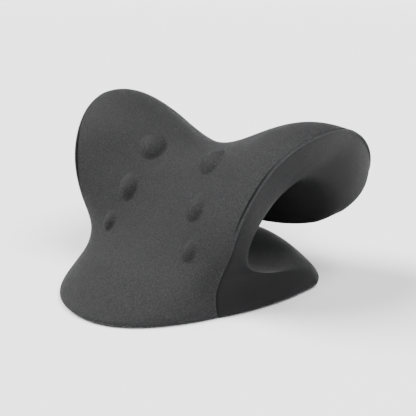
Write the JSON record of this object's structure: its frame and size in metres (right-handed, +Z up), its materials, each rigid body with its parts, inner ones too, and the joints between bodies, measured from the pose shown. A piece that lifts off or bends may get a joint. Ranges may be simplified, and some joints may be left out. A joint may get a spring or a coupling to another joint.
{
  "type": "cervical traction device",
  "caption": "Freestanding C-shaped foam neck stretcher: sloped front with oval massage nodes, saddle crown with raised wings, open hollow behind, flexing arch and flat sole.",
  "frame": {"origin": "on the table, on the plane of symmetry, at the foot of the parting line between the grained front and the smooth sides, 64 mm behind the point of the toe", "axes": "+Z up from the table, +Y from the toe towards the open mouth of the hollow, +X to the right seen from the toe"},
  "size_m": [0.2426, 0.2223, 0.1381],
  "materials": {
    "grained_skin": "fine leather-like grain, matt",
    "smooth_skin": "smooth satin moulded skin",
    "foam_core": "open-cell foam"
  },
  "bodies": {
    "base": {"foam_core_base": "foam_core", "front_skin_base": "grained_skin", "hollow_skin_base": "smooth_skin", "right_side_skin_base": "smooth_skin", "left_side_skin_base": "smooth_skin", "sole_skin_base": "smooth_skin", "massage_node_lower_right": "grained_skin", "massage_node_lower_left": "grained_skin"},
    "crown": {"foam_core_crown": "foam_core", "front_skin_crown": "grained_skin", "hollow_skin_crown": "smooth_skin", "right_side_skin_crown": "smooth_skin", "left_side_skin_crown": "smooth_skin", "tip_skin_crown": "smooth_skin", "massage_node_upper_right": "grained_skin", "massage_node_upper_left": "grained_skin", "massage_node_middle_right": "grained_skin", "massage_node_middle_left": "grained_skin"}
  },
  "joints": [
    {"name": "arch_flex", "type": "hinge", "parent": "base", "child": "crown", "pos_m": [0, 0.043, 0.057], "axis": [-1, 0, 0], "range_deg": [0, 8], "stiffness_Nm_per_rad": 16}
  ]
}
